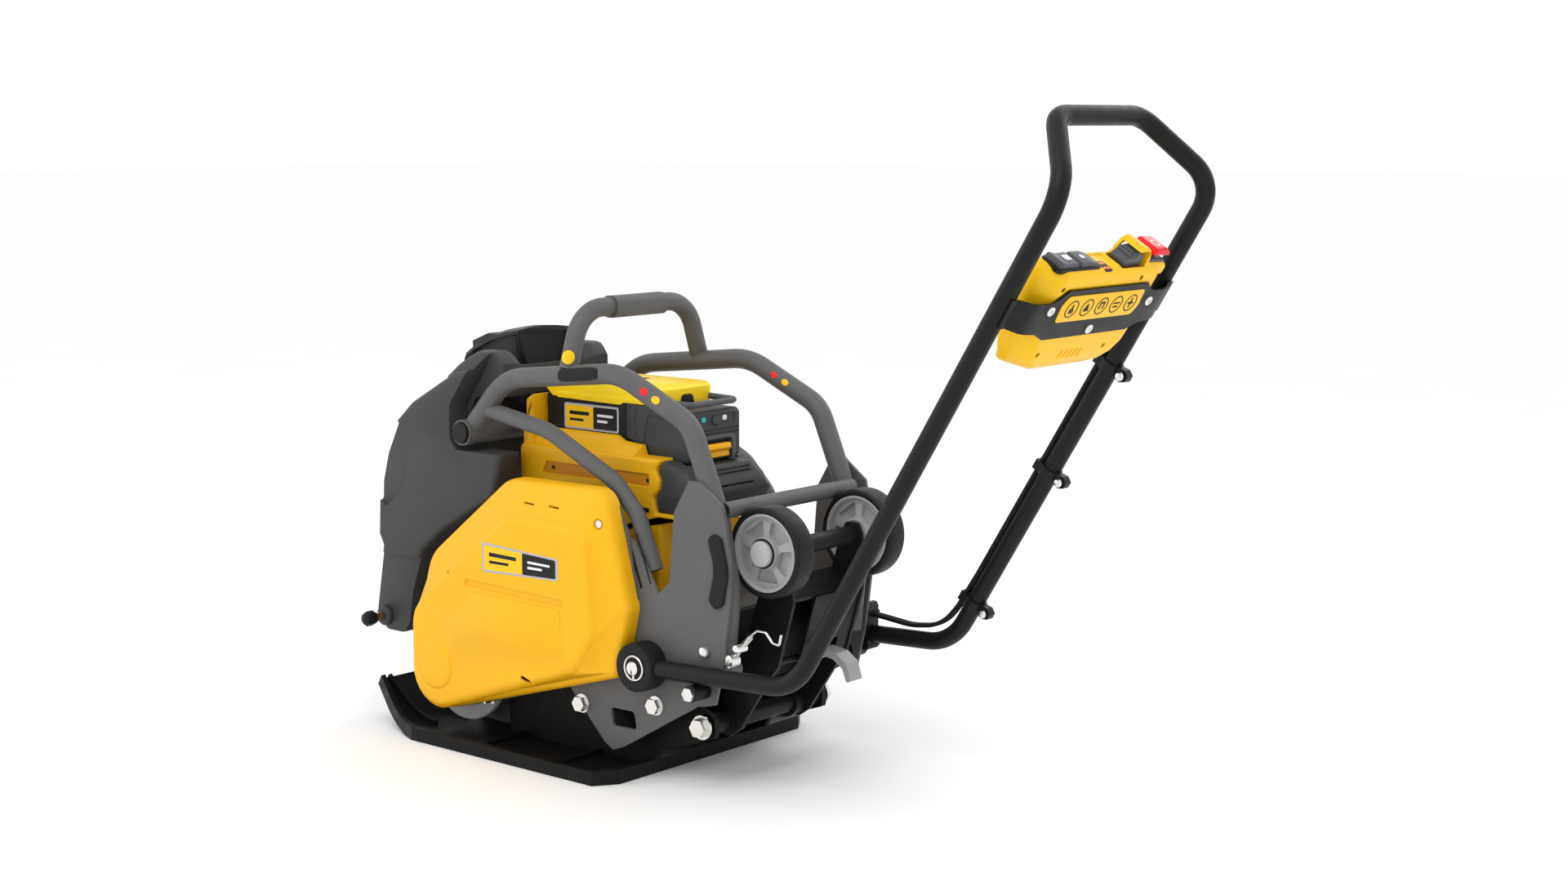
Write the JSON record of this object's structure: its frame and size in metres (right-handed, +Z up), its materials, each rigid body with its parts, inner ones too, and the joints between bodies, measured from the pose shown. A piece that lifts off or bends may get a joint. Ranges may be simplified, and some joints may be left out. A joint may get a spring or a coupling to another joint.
{
  "type": "plate compactor",
  "caption": "Battery plate compactor: ribbed sole plate, belt-driven exciter, tubular frame, front water tank, folding handle with console and swing-down wheels.",
  "frame": {"origin": "centre of the flat sole of the compaction plate", "axes": "+Z up, -X towards the front (direction of travel), +X towards the operator, -Y the belt side"},
  "size_m": [1.3906, 0.5, 1.028],
  "materials": {
    "cast_black": "black coated casting",
    "frame_grey": "satin grey powder coat",
    "handle_black": "satin black powder coat",
    "yellow_plastic": "satin yellow moulding",
    "dark_plastic": "textured dark grey moulding",
    "black_plastic": "textured black moulding",
    "rubber_black": "matt rubber",
    "steel": "machined steel",
    "zinc": "zinc plated",
    "aluminium": "cast aluminium",
    "hub_grey": "light grey moulding",
    "tyre_black": "solid rubber tyre",
    "red_plastic": "red moulding",
    "cable_black": "cable sheath",
    "valve_black": "black moulding on a brass stem"
  },
  "bodies": {
    "chassis": {"base_plate": "cast_black", "exciter_housing": "cast_black", "exciter_bearings": "steel", "exciter_caps": "steel", "exciter_cap_bolts": "zinc", "drive_belt": "rubber_black", "motor_housing": "aluminium", "belt_back_plate": "frame_grey", "belt_cover": "yellow_plastic", "cover_screws": "zinc", "rubber_mounts": "rubber_black", "mount_bolts": "zinc", "deck_plate": "frame_grey", "rail_left": "frame_grey", "rail_right": "frame_grey", "brace_left": "frame_grey", "brace_right": "frame_grey", "front_cross_tube": "frame_grey", "rear_cross_tube": "frame_grey", "side_plate_left": "frame_grey", "side_plate_right": "frame_grey", "stop_tubes": "handle_black", "lifting_bail": "frame_grey", "lifting_grip": "frame_grey", "frame_pads": "rubber_black", "power_housing": "yellow_plastic", "battery_cradle": "dark_plastic", "carriage_pivot_tube": "handle_black", "handle_pivot_bolts": "zinc"},
    "exciter": {"exciter_shaft": "steel", "exciter_pulley": "cast_black"},
    "rotor": {"motor_rotor": "steel", "motor_pulley": "cast_black"},
    "handle": {"handle_frame": "handle_black", "handle_bushings": "rubber_black", "console_top_shell": "yellow_plastic", "console_bottom_shell": "yellow_plastic", "console_bracket": "handle_black", "console_screws": "zinc", "lever_guard": "yellow_plastic", "control_cable": "cable_black", "cable_clips": "black_plastic"},
    "power_rocker": {"power_rocker": "dark_plastic"},
    "speed_button": {"speed_button": "dark_plastic"},
    "start_lever": {"start_lever": "dark_plastic"},
    "stop_button": {"stop_button": "red_plastic"},
    "battery": {"battery_case": "black_plastic", "battery_cover": "yellow_plastic"},
    "battery_latch": {"battery_latch": "yellow_plastic"},
    "charge_button": {"charge_button": "dark_plastic"},
    "tank": {"tank_body": "dark_plastic"},
    "tank_lid": {"tank_lid": "dark_plastic"},
    "water_valve": {"water_valve": "valve_black"},
    "carriage": {"carriage_frame": "handle_black", "wheel_axle": "handle_black"},
    "pedal": {"foot_pedal": "frame_grey"},
    "wheel_left": {"wheel_hub_left": "hub_grey", "tyre_left": "tyre_black"},
    "wheel_right": {"wheel_hub_right": "hub_grey", "tyre_right": "tyre_black"}
  },
  "joints": [
    {"name": "exciter_spin", "type": "hinge", "parent": "chassis", "child": "exciter", "pos_m": [-0.135, 0, 0.112], "axis": [0, 1, 0], "continuous": true},
    {"name": "motor_spin", "type": "hinge", "parent": "chassis", "child": "rotor", "pos_m": [0.14, 0, 0.318], "axis": [0, 1, 0], "continuous": true},
    {"name": "handle_fold", "type": "hinge", "parent": "chassis", "child": "handle", "pos_m": [0.295, 0, 0.185], "axis": [0, -1, 0], "range_deg": [0, 86]},
    {"name": "rocker_tilt", "type": "hinge", "parent": "handle", "child": "power_rocker", "pos_m": [0.98474, -0.115, 0.82611], "axis": [0, 1, 0], "range_deg": [-5, 5]},
    {"name": "speed_press", "type": "slide", "parent": "handle", "child": "speed_button", "axis": [-0.5247, 0, -0.8513], "range_m": [0, 0.002], "stiffness_N_per_m": 400},
    {"name": "lever_push", "type": "hinge", "parent": "handle", "child": "start_lever", "pos_m": [0.97531, 0.052, 0.82605], "axis": [0, 1, 0], "range_deg": [0, 12], "stiffness_Nm_per_rad": 0.2},
    {"name": "stop_press", "type": "slide", "parent": "handle", "child": "stop_button", "axis": [-0.5247, 0, -0.8513], "range_m": [0, 0.004], "stiffness_N_per_m": 900},
    {"name": "battery_slide", "type": "slide", "parent": "chassis", "child": "battery", "axis": [1, 0, 0], "range_m": [0, 0.34]},
    {"name": "latch_lift", "type": "slide", "parent": "battery", "child": "battery_latch", "axis": [0, 0, 1], "range_m": [0, 0.006], "stiffness_N_per_m": 300, "springref_m": -0.004},
    {"name": "charge_press", "type": "slide", "parent": "battery", "child": "charge_button", "axis": [-1, 0, 0], "range_m": [0, 0.0015], "stiffness_N_per_m": 400},
    {"name": "tank_slide", "type": "slide", "parent": "chassis", "child": "tank", "axis": [-1, 0, 0], "range_m": [0, 0.25]},
    {"name": "lid_tip", "type": "hinge", "parent": "tank", "child": "tank_lid", "pos_m": [-0.273, 0, 0.527], "axis": [0, -1, 0], "range_deg": [0, 100]},
    {"name": "valve_turn", "type": "hinge", "parent": "tank", "child": "water_valve", "pos_m": [-0.334, 0, 0.172], "axis": [0, 1, 0], "range_deg": [0, 90]},
    {"name": "carriage_swing", "type": "hinge", "parent": "chassis", "child": "carriage", "pos_m": [0.372, 0, 0.092], "axis": [0, 1, 0], "range_deg": [0, 150]},
    {"name": "pedal_press", "type": "hinge", "parent": "carriage", "child": "pedal", "pos_m": [0.46, 0, 0.193], "axis": [0, 1, 0], "range_deg": [0, 16], "stiffness_Nm_per_rad": 3, "springref_deg": -22.92},
    {"name": "wheel_left_spin", "type": "hinge", "parent": "carriage", "child": "wheel_left", "pos_m": [0.485, -0.11, 0.373], "axis": [0, 1, 0], "continuous": true},
    {"name": "wheel_right_spin", "type": "hinge", "parent": "carriage", "child": "wheel_right", "pos_m": [0.485, 0.11, 0.373], "axis": [0, 1, 0], "continuous": true}
  ],
  "couplings": [
    {"joint": "motor_spin", "follows": "exciter_spin", "ratio": 0.68}
  ]
}
